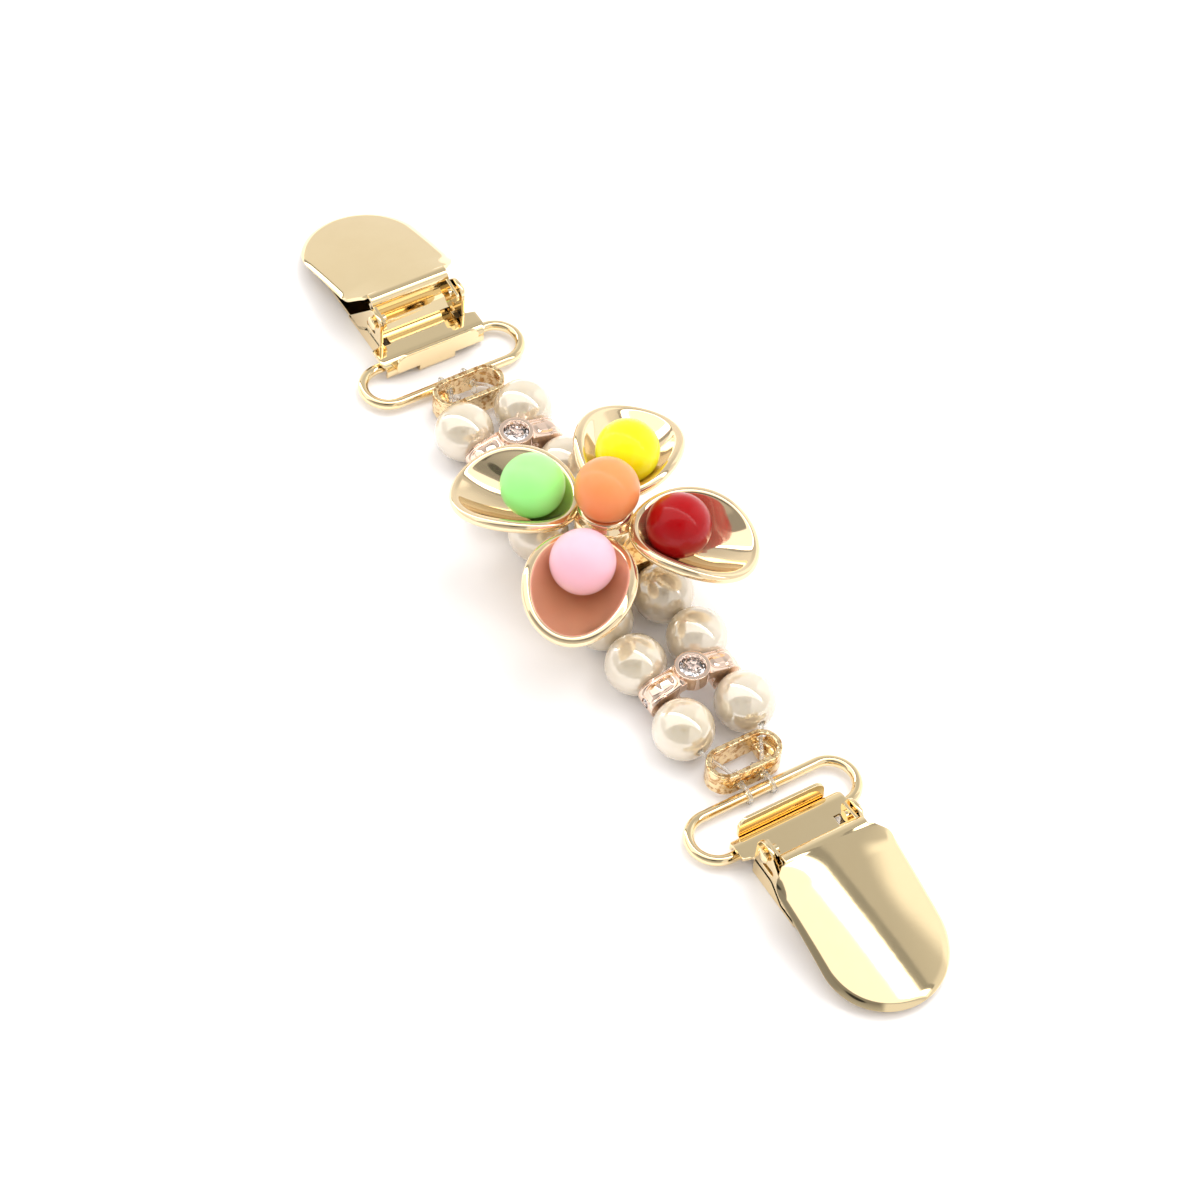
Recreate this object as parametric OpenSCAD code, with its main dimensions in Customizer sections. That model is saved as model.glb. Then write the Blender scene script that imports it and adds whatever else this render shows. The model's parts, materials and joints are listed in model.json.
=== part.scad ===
// Sweater clip: two spring clips joined by a double row of pearls that carries a flower of four cups.
// It lies on a flat surface. X runs along the strand, Y across it and Z up from the surface.

/* [Strand] */
// Diameter of a pearl
pearl_d = 8; // [7:0.1:9]
// Diameter of the hole through a pearl, a spacer and the flower's carrier
bore_d = 1.2; // [1:0.1:1.6]
// Diameter of the clear elastic thread
thread_d = 0.5; // [0.4:0.05:0.65]
// Free gap between neighbours on the thread
bead_gap = 0.12; // [0.05:0.01:0.3]
// Distance between the two rows, centre to centre
row_pitch = 9.1; // [9.1:0.1:11]

/* [Spacer] */
// Length of a spacer along the strand
spacer_t = 3.2; // [2.6:0.1:4]
// Diameter of the lobe round each thread hole
lobe_d = 4.4; // [3.6:0.1:6]
// Height of the band's underside above the thread, in the middle of a spacer
band_z = 1.4; // [0.8:0.1:1.8]
// Thickness of the band in the middle of a spacer
band_h = 1.5; // [1:0.1:1.9]
// Outer diameter of the round bezel on top
bezel_d = 4.6; // [3.8:0.1:5.4]
// Wall of the bezel round its stone
bezel_wall = 0.6; // [0.4:0.05:0.8]
// Height of the bezel's rim above the thread
bezel_h = 3.7; // [3.4:0.1:4.6]
// Height of the cut stone
stone_h = 1.7; // [1.2:0.1:2]
// Diameter of the small stone in each end of a spacer
end_stone_d = 1.2; // [0.8:0.1:1.6]
// Free gap round a stone in its seat
stone_gap = 0.05; // [0.03:0.01:0.1]

/* [Flower] */
// Diameter of a coloured bead
bead_d = 8.4; // [7:0.1:9]
// Distance of an outer bead's centre from the flower's middle
bead_reach = 9.7; // [8.8:0.1:10.6]
// Turn of the four outer beads from the diagonals
bead_turn = -3; // [-6:0.5:6]
// Turn of the four cups from the diagonals
petal_turn = -1; // [-4:0.5:6]
// Distance of a cup's inner end from the flower's middle
petal_root = 3.3; // [2.3:0.1:4.3]
// Length of a cup along its own axis
petal_l = 17; // [15:0.1:19]
// Width of a cup
petal_w = 14.4; // [12:0.1:15.5]
// Thickness of a cup's wall
petal_t = 0.9; // [0.7:0.05:1.2]
// Width of the rolled rim
rim_w = 1.6; // [1.2:0.05:2]
// Height of the rim's highest point above the cup's floor
rim_h = 4.5; // [3.2:0.1:5.4]
// Height of the drooping outer tip above the cup's floor
tip_h = 1.7; // [1:0.1:2.4]
// Height of the cups' undersides above the pearls
cup_lift = 2.1; // [0.5:0.1:3.5]
// Free gap under a glued bead
seat_gap = 0.1; // [0.05:0.01:0.2]
// Height of the middle bead's centre above the outer beads
middle_rise = 3.1; // [2.6:0.1:4.5]
// Diameter of the hub that joins the cups
hub_d = 7.6; // [7:0.1:8.6]
// Diameter of the rod in the ring seat under the middle bead
seat_rod_d = 1; // [0.8:0.05:1.2]
// Length of the hidden carrier bar along the strand
carrier_l = 8.1; // [6:0.1:10]
// Diameter of the carrier's stem under the flower
stem_d = 5; // [3.6:0.1:6]

/* [Connector] */
// Length of a connector across the strand
conn_l = 10.4; // [9.6:0.1:12]
// Width of a connector along the strand
conn_w = 5; // [4.6:0.1:6]
// Height of a connector
conn_h = 3.5; // [3:0.1:4.4]
// Wall of a connector
conn_wall = 0.75; // [0.6:0.05:1]
// Height of a connector's underside above the surface
conn_lift = 0.8; // [0.2:0.1:1]
// Height of the ledge in one end of a connector
ledge_h = 1.6; // [0.8:0.1:1.7]
// Diameter of the thread holes in a connector
conn_bore_d = 1.4; // [1.2:0.1:1.6]
// Gap between the last pearls and the connector
conn_gap = 0.4; // [0.4:0.05:1.2]
// Distance between the two thread loops on a ring
loop_pitch = 3.5; // [3:0.1:4.2]

/* [Ring] */
// Diameter of the ring's wire
wire_d = 1.4; // [1:0.1:1.6]
// Length of a ring across the strand, outside
ring_l = 25; // [22:0.1:28]
// Width of a ring along the strand, between wire centres
ring_w = 6.8; // [6.4:0.1:9]
// Gap between a connector and the thread loops on the ring
ring_gap = 0.1; // [0.05:0.01:0.6]
// Free gap between a thread loop and the wire
loop_gap = 0.05; // [0.03:0.01:0.1]

/* [Clip] */
// Thickness of the sheet that the clips are stamped from
sheet_t = 0.5; // [0.4:0.05:0.6]
// Running gap of the rolled edge round the ring's bar
roll_gap = 0.05; // [0.03:0.01:0.1]
// Width of the rolled edge
roll_w = 16; // [15:0.1:17]
// Width of the clip's base across its two side walls
base_w = 13.2; // [12.6:0.1:13.8]
// Width of the upright lip
lip_w = 12.6; // [10:0.1:13.2]
// Height of the lip's top above the plate
lip_h = 2.2; // [1.4:0.1:3]
// Lean of the lip towards the ring
lip_lean = 6; // [0:1:10]
// Width of the strap that carries the lip
strap_w = 5.5; // [4:0.1:7]
// Width of the slots between the lip and the rolled edge
slot_w = 0.45; // [0.3:0.05:0.6]
// Width of the relief hole beside each ear
relief_w = 1; // [0.6:0.1:1.4]
// Length of the relief hole beside each ear
relief_l = 1.4; // [0.8:0.1:2]
// Length of the side walls beyond the hinge
wall_l = 7.4; // [6.4:0.1:8.4]
// Length of the tongue from the side walls' foot to its tip
tongue_l = 14.6; // [12:0.1:17]

/* [Lever] */
// Distance of the lever's hinge from the ring's bar
hinge_x = 4; // [3.6:0.1:5]
// Height of the hinge above the surface
hinge_z = 6; // [5.6:0.1:6.4]
// Diameter of the lever's two trunnions
pin_d = 1.4; // [1.2:0.1:1.6]
// Running gap between a trunnion and its ear
pin_gap = 0.05; // [0.03:0.01:0.1]
// Width of the lever's plate
lever_w = 16.3; // [15:0.1:18]
// Length of the lever's plate from its fold to its tip
lever_l = 22.9; // [20:0.1:25]
// Free gap between the lever's neck and each ear
neck_gap = 0.2; // [0.1:0.05:0.5]
// Distance of the lever's fold outwards from the hinge
fold_x = 1.9; // [1.6:0.1:2.2]
// Height of the lever's fold above the hinge
fold_z = 1.9; // [1.7:0.1:2.2]
// Slope of the closed lever down to its tip
lever_slope = 14; // [10:0.5:14.5]
// Radius of the lever's crown across its width
crown_r = 34; // [28:1:60]
// Hollow of the lever's leg
leg_hollow = 0.7; // [0.4:0.1:0.9]
// Gap between the closed lever's leg and the plate
jaw_gap = 0.15; // [0.1:0.05:0.3]

/* [Hidden] */
$fn = 48;

pearl_gold = "ivory";
pale_gold = "khaki";
rose_gold = "burlywood";
clear = "gainsboro";

// Places along the strand, measured from its middle
row_y = row_pitch / 2;
thread_z = pearl_d / 2;
pearl_step = pearl_d + bead_gap;
pearl_x1 = carrier_l / 2 + bead_gap + pearl_d / 2;
pearl_x2 = pearl_x1 + pearl_step;
spacer_x = pearl_x2 + pearl_d / 2 + bead_gap + spacer_t / 2;
pearl_x3 = spacer_x + spacer_t / 2 + bead_gap + pearl_d / 2;
row_end = pearl_x3 + pearl_d / 2;
bezel_foot = bezel_d / 4;
conn_x = row_end + conn_gap + conn_w / 2;
conn_z = conn_lift + conn_h / 2;

// Thread loops round the ring's far wire, which they hold clear of the surface
loop_y = loop_pitch / 2;
loop_r = wire_d / 2 + loop_gap + thread_d / 2;
far_wire_x = conn_x + conn_w / 2 + ring_gap + thread_d / 2 + loop_r;
bar_x = far_wire_x + ring_w;
ring_z = loop_r + thread_d / 2 + loop_gap;
entry_z = conn_lift + 0.7 * conn_h;
exit_z = ring_z + 0.7;
thread_sides = 10;

// Flower heights
cup_floor = pearl_d + cup_lift + petal_t;
petal_reach = petal_root + petal_l / 2;
tip_reach = petal_reach + petal_l / 2;
peak_reach = 0.5 * tip_reach;
droop = (rim_h - tip_h) / pow(tip_reach - peak_reach, 2);
bead_z = cup_floor + seat_gap + bead_d / 2 + 0.25;
middle_z = bead_z + middle_rise;
seat_ring_r = 0.36 * bead_d;
seat_ring_z = middle_z - sqrt(pow((bead_d + seat_rod_d) / 2 + stone_gap, 2) - pow(seat_ring_r, 2));
hub_bottom = cup_floor - petal_t;

// Clip levels and places, all from the ring's bar
roll_r = wire_d / 2 + roll_gap + sheet_t;
plate_z = ring_z + roll_r;
trough_x = bar_x - roll_r - slot_w / 2;
trough_z = sheet_t + slot_w / 2;
lip_foot = ring_z + 0.1;
ear_x = bar_x + roll_r + 0.9;
hinge = [bar_x + hinge_x, hinge_z];
ear_r = pin_d / 2 + 1.05;
step_x = hinge[0] + fold_x;
step_run = 2.2;
wall_end = hinge[0] + wall_l;
tongue_end = wall_end + tongue_l;
neck_w = base_w - 2 * sheet_t - 2 * neck_gap;
fold = [hinge[0] + fold_x, hinge_z + fold_z];
foot = [hinge[0] + 0.6, plate_z + jaw_gap];
pin_end = base_w / 2 + 0.6;

function unit(v) = v / norm(v);

// Half of a thread, as [x, y, z, radius]: through the row, into the connector, round the ring's wire
// and back into the connector, where it ends in a knot
function thread_path(s) = let (
        r = thread_d / 2,
        in = conn_x - conn_w / 2,
        out = conn_x + conn_w / 2,
        entry = conn_l / 2 - 1.4)
    [for (p = concat(
        [[row_end - 0.2, row_y, thread_z, r], [row_end + 0.05, row_y - 0.05, thread_z - 0.06, r],
         [row_end + 0.4, row_y - 0.25, (2 * thread_z + entry_z) / 3, r],
         [in + 0.3, entry + 0.1, entry_z + 0.1, r], [in + 0.7, entry - 0.1, entry_z, r],
         [in + 1.2, entry - 0.4, entry_z - 0.15, r], [conn_x, (entry + loop_y) / 2, entry_z - 0.4, r],
         [out - 1.2, loop_y + 0.15, exit_z + thread_d * 0.62, r],
         [out - 0.7, loop_y, exit_z + thread_d * 0.57, r], [out, loop_y, exit_z + thread_d * 0.57, r]],
        [for (a = [100:-20:-180])
            [far_wire_x + loop_r * cos(a), loop_y, ring_z + loop_r * sin(a), r]],
        [[out + 0.2, loop_y, exit_z - thread_d * 0.8, r], [out - 0.1, loop_y, exit_z - thread_d * 0.57, r],
         [out - 0.9, loop_y, exit_z - thread_d * 0.57, r], [out - 1.3, loop_y - 0.1, exit_z - 0.3, r],
         [out - 1.6, loop_y - 0.3, exit_z - 0.3, 1.7 * r], [out - 1.9, loop_y - 0.5, exit_z - 0.3, 1.8 * r],
         [out - 2.2, loop_y - 0.7, exit_z - 0.3, 0.8 * r]]))
        [p[0], s * p[1], p[2], p[3]]];
function turned(path) = [for (i = [len(path) - 1:-1:0]) [-path[i][0], -path[i][1], path[i][2], path[i][3]]];
function place(p) = [p[0], p[1], p[2]];
function tube_ring(path, i) = let (
        along = unit(place(path[min(i + 1, len(path) - 1)]) - place(path[max(i - 1, 0)])),
        up = unit(cross(along, [0, 1, 0])),
        side = cross(up, along))
    [for (k = [0:thread_sides - 1]) let (a = k * 360 / thread_sides)
        place(path[i]) + path[i][3] * (up * cos(a) + side * sin(a))];

module tube(path) {
    n = thread_sides;
    steps = len(path) - 1;
    points = [for (i = [0:steps]) for (p = tube_ring(path, i)) p];
    faces = concat(
        [[for (k = [n - 1:-1:0]) k], [for (k = [0:n - 1]) steps * n + k]],
        [for (i = [0:steps - 1]) for (k = [0:n - 1])
            [i * n + k, i * n + (k + 1) % n, (i + 1) * n + (k + 1) % n]],
        [for (i = [0:steps - 1]) for (k = [0:n - 1])
            [i * n + k, (i + 1) * n + (k + 1) % n, (i + 1) * n + k]]);
    polyhedron(points, faces);
}

module thread(side) color(clear)
    tube(concat(turned(thread_path(-side)), thread_path(side)));

module pearl(x, side) color(pearl_gold)
    translate([x, side * row_y, thread_z])
        difference() {
            sphere(d = pearl_d);
            rotate([0, 90, 0]) cylinder(h = pearl_d + 2, d = bore_d, center = true);
        }

// Spacer: two drilled lobes, an arched band between them, and a round bezel in its middle
module spacer() color(rose_gold)
    difference() {
        translate([0, 0, thread_z]) {
            for (s = [-1, 1])
                translate([0, s * row_y, 0])
                    rotate([0, 90, 0]) cylinder(h = spacer_t, d = lobe_d, center = true);
            rotate([90, 0, 90])
                linear_extrude(spacer_t, center = true) {
                    for (s = [-1, 1])
                        polygon([[0, band_z], [s * bezel_d / 2, band_z], [s * row_y, -lobe_d / 4],
                            [s * row_y, lobe_d / 2], [s * bezel_d / 2, band_z + band_h],
                            [0, band_z + band_h]]);
                }
            translate([0, 0, band_z - bezel_foot]) cylinder(h = bezel_foot, d1 = bezel_d / 2, d2 = bezel_d);
            translate([0, 0, band_z]) cylinder(h = bezel_h - band_z, d = bezel_d);
        }
        for (s = [-1, 1])
            translate([0, s * row_y, thread_z])
                rotate([0, 90, 0]) cylinder(h = spacer_t + 2, d = bore_d, center = true);
        translate([0, 0, thread_z + bezel_h - stone_h])
            cylinder(h = stone_h + 1, d = bezel_d - 2 * bezel_wall);
        for (s = [-1, 1])
            translate([0, s * (row_y + lobe_d / 2), thread_z])
                rotate([90, 0, 0])
                    cylinder(h = end_stone_d, d = end_stone_d + 2 * stone_gap, center = true);
    }

// Cut stone with its table up: an eight-sided table, crown, girdle and pointed pavilion
module cut_stone(d, h) {
    crown = 0.3 * h;
    girdle = 0.12 * h;
    translate([0, 0, -crown]) cylinder(h = crown, d1 = d, d2 = 0.55 * d, $fn = 8);
    translate([0, 0, -crown - girdle]) cylinder(h = girdle, d = d, $fn = 8);
    translate([0, 0, -h]) cylinder(h = h - crown - girdle, d1 = 0.1 * d, d2 = d, $fn = 8);
}

module spacer_stone(x) color("white")
    translate([x, 0, thread_z + bezel_h - stone_gap])
        cut_stone(bezel_d - 2 * bezel_wall - 2 * stone_gap, stone_h - 2 * stone_gap);

module end_stone(x, side) color("white")
    translate([x, side * (row_y + lobe_d / 2), thread_z])
        rotate([-side * 90, 0, 0])
            cut_stone(end_stone_d, end_stone_d / 2 - stone_gap);

// Hidden bar that both threads run through, with the stem that the flower is fixed on
module flower_carrier() color(pale_gold)
    difference() {
        union() {
            for (s = [-1, 1])
                translate([0, s * row_y, thread_z])
                    rotate([0, 90, 0]) cylinder(h = carrier_l, d = lobe_d, center = true);
            translate([-carrier_l / 2, -row_y, thread_z - lobe_d / 2])
                cube([carrier_l, row_pitch, lobe_d]);
            translate([0, 0, thread_z]) cylinder(h = hub_bottom - thread_z - bead_gap, d = stem_d);
        }
        for (s = [-1, 1])
            translate([0, s * row_y, thread_z])
                rotate([0, 90, 0]) cylinder(h = carrier_l + 2, d = bore_d, center = true);
    }

// A cup in its own frame: X outwards from the flower's middle, phi round the cup, rho from its middle
cup_sides = 32;
cup_bulge = 2.2;
cup_egg = 0.04;
function cup_x(rho, phi) = petal_reach + rho * petal_l / 2 * cos(phi);
function cup_y(rho, phi) = rho * petal_w / 2 * sin(phi) * (1 + cup_egg * cos(phi));
function rim_z(phi) = cup_floor + rim_h - droop * pow(cup_x(1, phi) - peak_reach, 2);
function cup_point(rho, phi, drop) = [cup_x(rho, phi), cup_y(rho, phi),
    cup_floor + (rim_z(phi) - cup_floor) * pow(rho, cup_bulge) - drop];
function rim_point(phi, psi) = let (
        edge = [cup_x(1, phi) - petal_reach, cup_y(1, phi)],
        out = unit(edge),
        at = edge - out * rim_w / 2)
    [petal_reach + at[0] + out[0] * rim_w / 2 * cos(psi), at[1] + out[1] * rim_w / 2 * cos(psi),
        rim_z(phi) - rim_w / 2 + rim_w / 2 * sin(psi)];
cup_inner = [0.3, 0.55, 0.75, 0.87];
cup_outer = [0.84, 0.65, 0.4];
rim_turns = [140, 95, 50, 5, -45];

module cup() {
    around = [for (i = [0:cup_sides - 1]) i * 360 / cup_sides];
    rings = concat(
        [for (rho = cup_inner) [for (phi = around) cup_point(rho, phi, 0)]],
        [for (psi = rim_turns) [for (phi = around) rim_point(phi, psi)]],
        [for (rho = cup_outer) [for (phi = around) cup_point(rho, phi, petal_t)]]);
    points = concat([[petal_reach, 0, cup_floor]], [for (r = rings) for (p = r) p],
        [[petal_reach, 0, cup_floor - petal_t]]);
    last = len(points) - 1;
    sides = cup_sides;
    faces = concat(
        [for (i = [0:sides - 1]) [0, 1 + (i + 1) % sides, 1 + i]],
        [for (k = [0:len(rings) - 2]) for (i = [0:sides - 1])
            [1 + k * sides + i, 1 + k * sides + (i + 1) % sides, 1 + (k + 1) * sides + i]],
        [for (k = [0:len(rings) - 2]) for (i = [0:sides - 1])
            [1 + (k + 1) * sides + i, 1 + k * sides + (i + 1) % sides,
                1 + (k + 1) * sides + (i + 1) % sides]],
        [for (i = [0:sides - 1]) [last, last - sides + i, last - sides + (i + 1) % sides]]);
    polyhedron(points, faces);
}

// The flower: four cups cast on a hub, with a ring seat for the middle bead
module flower_cups() color(rose_gold) {
    for (k = [0:3])
        rotate([0, 0, 45 + 90 * k + petal_turn]) cup();
    translate([0, 0, hub_bottom]) cylinder(h = seat_ring_z - hub_bottom - 1, d = hub_d);
    difference() {
        translate([0, 0, hub_bottom]) cylinder(h = seat_ring_z - hub_bottom, d = 2 * seat_ring_r);
        translate([0, 0, middle_z]) sphere(d = bead_d + 2 * seat_gap);
    }
    translate([0, 0, seat_ring_z])
        rotate_extrude() translate([seat_ring_r, 0]) circle(d = seat_rod_d);
}

module outer_bead(k, tint) color(tint)
    rotate([0, 0, 45 + 90 * k + bead_turn])
        translate([bead_reach, 0, bead_z]) sphere(d = bead_d);

module middle_bead() color("sandybrown")
    translate([0, 0, middle_z]) sphere(d = bead_d);

module stadium(l, w) {
    for (s = [-1, 1])
        translate([0, s * (l - w) / 2]) circle(d = w);
    translate([-w / 2, -(l - w) / 2]) square([w, l - w]);
}

// Connector: an open stadium frame with thread holes in both long walls and a ledge in one end
module connector() color(pale_gold)
    translate([conn_x, 0, conn_lift])
        difference() {
            linear_extrude(conn_h) stadium(conn_l, conn_w);
            difference() {
                translate([0, 0, -1])
                    linear_extrude(conn_h + 2) stadium(conn_l - 2 * conn_wall, conn_w - 2 * conn_wall);
                translate([-conn_w / 2, conn_l / 2 - 2.6, -1]) cube([conn_w, 2.5, 1 + ledge_h]);
            }
            for (s = [-1, 1]) {
                translate([-conn_w / 2 - 1, s * (conn_l / 2 - 1.4), entry_z - conn_lift])
                    rotate([0, 90, 0]) cylinder(h = conn_w / 2, d = conn_bore_d);
                translate([1, s * loop_y, exit_z - conn_lift])
                    rotate([0, 90, 0]) cylinder(h = conn_w / 2, d = conn_bore_d);
            }
        }

// Flat ring of round wire: two straight runs and two half turns
module wire_ring() color(pale_gold) {
    run = ring_l - wire_d - ring_w;
    translate([(far_wire_x + bar_x) / 2, 0, ring_z]) {
        for (s = [-1, 1]) {
            translate([s * ring_w / 2, 0, 0])
                rotate([90, 0, 0]) cylinder(h = run, d = wire_d, center = true);
            translate([0, s * run / 2, 0])
                rotate([0, 0, s > 0 ? 0 : 180])
                    rotate_extrude(angle = 180) translate([ring_w / 2, 0]) circle(d = wire_d);
        }
    }
}

// Extrudes a side profile, drawn as [x, z], to a width w centred on y
module across(y, w)
    translate([0, y + w / 2, 0]) rotate([90, 0, 0]) linear_extrude(w) children();

// Side profile of the base sheet: rolled edge, plate, step and tongue
module base_profile() {
    translate([bar_x, ring_z])
        intersection() {
            difference() {
                circle(r = roll_r);
                circle(r = roll_r - sheet_t);
            }
            translate([-2 * roll_r, -roll_r / 3]) square([2 * roll_r, 2 * roll_r]);
        }
    translate([bar_x, plate_z - sheet_t]) square([step_x - bar_x, sheet_t]);
    polygon([[step_x, plate_z - sheet_t], [step_x, plate_z], [step_x + sheet_t / 2, plate_z],
        [step_x + step_run + sheet_t / 2, sheet_t], [step_x + step_run, 0]]);
    translate([step_x + step_run, 0]) square([tongue_end - step_x - step_run, sheet_t]);
}

// Side profile of the strap: down from the rolled edge, round the trough and up to the lip
module strap_profile() {
    translate([bar_x - roll_r, trough_z]) square([sheet_t, ring_z - trough_z]);
    translate([trough_x, trough_z])
        intersection() {
            difference() {
                circle(r = slot_w / 2 + sheet_t);
                circle(r = slot_w / 2);
            }
            translate([-2, -2]) square([4, 2]);
        }
    translate([trough_x - slot_w / 2 - sheet_t, trough_z])
        square([sheet_t, lip_foot - trough_z + 0.3]);
}

// Plan of the base sheet: wide rolled edge, plate between the walls, round-ended tongue
module base_plan() {
    translate([bar_x - roll_r - 1, -roll_w / 2]) square([ear_x - bar_x + roll_r + 1, roll_w]);
    translate([bar_x, -base_w / 2]) square([tongue_end - base_w / 2 - bar_x, base_w]);
    translate([tongue_end - base_w / 2, 0]) circle(d = base_w, $fn = 96);
}

// Outline of a side wall with its ear
module wall_outline() {
    toe = [wall_end, sheet_t];
    reach = toe - hinge;
    touch = atan2(reach[1], reach[0]) + acos(ear_r / norm(reach));
    translate(hinge) circle(r = ear_r);
    polygon([[ear_x, 0], [wall_end, 0], toe, hinge + ear_r * [cos(touch), sin(touch)],
        hinge - [ear_r, 0], [ear_x, plate_z]]);
}

module lip() {
    corner = 1.2;
    lip_x = trough_x - slot_w / 2;
    tall = plate_z + lip_h - lip_foot;
    translate([lip_x, 0, lip_foot])
        rotate([0, -lip_lean, 0])
            translate([-sheet_t, 0, 0])
                rotate([90, 0, 90])
                    linear_extrude(sheet_t) {
                        translate([-lip_w / 2, 0]) square([lip_w, tall - corner]);
                        translate([-lip_w / 2 + corner, 0]) square([lip_w - 2 * corner, tall]);
                        for (s = [-1, 1])
                            translate([s * (lip_w / 2 - corner), tall - corner]) circle(r = corner);
                    }
}

module clip_base() color(pale_gold) {
    difference() {
        intersection() {
            across(0, roll_w) base_profile();
            linear_extrude(plate_z + 1) base_plan();
        }
        for (s = [-1, 1])
            translate([ear_x - 0.3, s * (base_w / 2 - sheet_t - relief_w / 2) - relief_w / 2, plate_z - 1])
                cube([relief_l, relief_w, 2]);
    }
    across(0, strap_w) strap_profile();
    lip();
    difference() {
        for (s = [-1, 1])
            across(s * (base_w - sheet_t) / 2, sheet_t) wall_outline();
        across(0, base_w + 2) translate(hinge) circle(r = pin_d / 2 + pin_gap);
        across(0, base_w + 2)
            translate(hinge + [0.9, -1.8]) rotate(90) stadium(2.4, 0.9);
    }
}

// Plan of the lever from its fold: neck, sloping shoulders and round-ended plate
module lever_plan() {
    neck_l = 0.7;
    shoulder = 2.6;
    corner = 1;
    straight = lever_l - lever_w / 2;
    translate([0, -neck_w / 2]) square([straight, neck_w]);
    for (s = [-1, 1]) {
        polygon([[neck_l, 0], [neck_l, s * neck_w / 2], [shoulder - 0.3, s * (lever_w / 2 - corner)],
            [shoulder + corner, s * (lever_w / 2 - corner)], [shoulder + corner, 0]]);
        translate([shoulder + corner - 0.1, s * (lever_w / 2 - corner)]) circle(r = corner);
    }
    translate([shoulder + corner - 0.1, -lever_w / 2])
        square([straight - shoulder - corner + 0.1, lever_w]);
    translate([straight, 0]) circle(d = lever_w, $fn = 96);
}

module crown(r) translate([-lever_l / 4, 0, -crown_r])
    rotate([0, 90, 0]) cylinder(h = 1.5 * lever_l, r = r, $fn = 360);

module at_fold() translate([fold[0], 0, fold[1]]) rotate([0, lever_slope, 0]) children();

// Side profile of the leg: an arc from the fold down to the foot, hollow towards the ring
module leg_profile() {
    chord = foot - fold;
    middle = (foot + fold) / 2;
    side = unit([chord[1], -chord[0]]);
    r = (pow(norm(chord) / 2, 2) + pow(leg_hollow, 2)) / (2 * leg_hollow);
    centre = middle + side * (r - leg_hollow);
    translate(centre)
        intersection() {
            difference() {
                circle(r = r + sheet_t, $fn = 96);
                circle(r = r, $fn = 96);
            }
            polygon([[0, foot[1] - centre[1]], [2 * r, foot[1] - centre[1]], 2 * (fold - centre), [0, 0]]);
        }
}

// Outline of a lug: from the neck down round the trunnion
module lug_outline() {
    lug_r = pin_d / 2 + 0.85;
    translate(hinge) circle(r = lug_r);
    polygon([hinge + lug_r * [cos(150), sin(150)], fold + [-0.7, -0.2], fold + [1.6, -0.5],
        hinge + lug_r * [cos(-20), sin(-20)], hinge]);
}

module clip_lever() color(pale_gold) {
    at_fold()
        intersection() {
            difference() {
                crown(crown_r);
                crown(crown_r - sheet_t);
            }
            translate([0, 0, -4]) linear_extrude(5) lever_plan();
        }
    intersection() {
        union() {
            across(0, neck_w) leg_profile();
            for (s = [-1, 1])
                across(s * (neck_w - sheet_t) / 2, sheet_t) lug_outline();
        }
        at_fold() crown(crown_r - 0.02);
    }
    for (s = [-1, 1])
        across(s * (neck_w / 2 + pin_end - sheet_t) / 2, pin_end - neck_w / 2 + sheet_t)
            translate(hinge) circle(d = pin_d);
    for (s = [-1, 1])
        across(s * (pin_end - 0.2), 0.4) translate(hinge) circle(d = pin_d + 0.6);
}

module far() rotate([0, 0, 180]) children();

thread(-1);  // thread_left
thread(1);  // thread_right
pearl(pearl_x3, -1);  // pearl_01
pearl(pearl_x3, 1);  // pearl_02
pearl(pearl_x2, -1);  // pearl_03
pearl(pearl_x2, 1);  // pearl_04
pearl(pearl_x1, -1);  // pearl_05
pearl(pearl_x1, 1);  // pearl_06
pearl(-pearl_x1, -1);  // pearl_07
pearl(-pearl_x1, 1);  // pearl_08
pearl(-pearl_x2, -1);  // pearl_09
pearl(-pearl_x2, 1);  // pearl_10
pearl(-pearl_x3, -1);  // pearl_11
pearl(-pearl_x3, 1);  // pearl_12
translate([spacer_x, 0, 0]) spacer();  // spacer_a
translate([-spacer_x, 0, 0]) spacer();  // spacer_b
spacer_stone(spacer_x);  // spacer_stone_a
spacer_stone(-spacer_x);  // spacer_stone_b
end_stone(spacer_x, -1);  // end_stone_a_left
end_stone(spacer_x, 1);  // end_stone_a_right
end_stone(-spacer_x, -1);  // end_stone_b_left
end_stone(-spacer_x, 1);  // end_stone_b_right
flower_carrier();
flower_cups();
outer_bead(0, "firebrick");  // bead_red
outer_bead(1, "yellow");  // bead_yellow
outer_bead(2, "palegreen");  // bead_green
outer_bead(3, "pink");  // bead_pink
middle_bead();  // bead_orange
connector();  // connector_a
far() connector();  // connector_b
wire_ring();  // wire_ring_a
far() wire_ring();  // wire_ring_b
clip_base();  // clip_base_a
far() clip_base();  // clip_base_b
clip_lever();  // clip_lever_a
far() clip_lever();  // clip_lever_b
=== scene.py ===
import json
import math

import bmesh
import bpy
from mathutils import Matrix, Vector, noise


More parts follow.
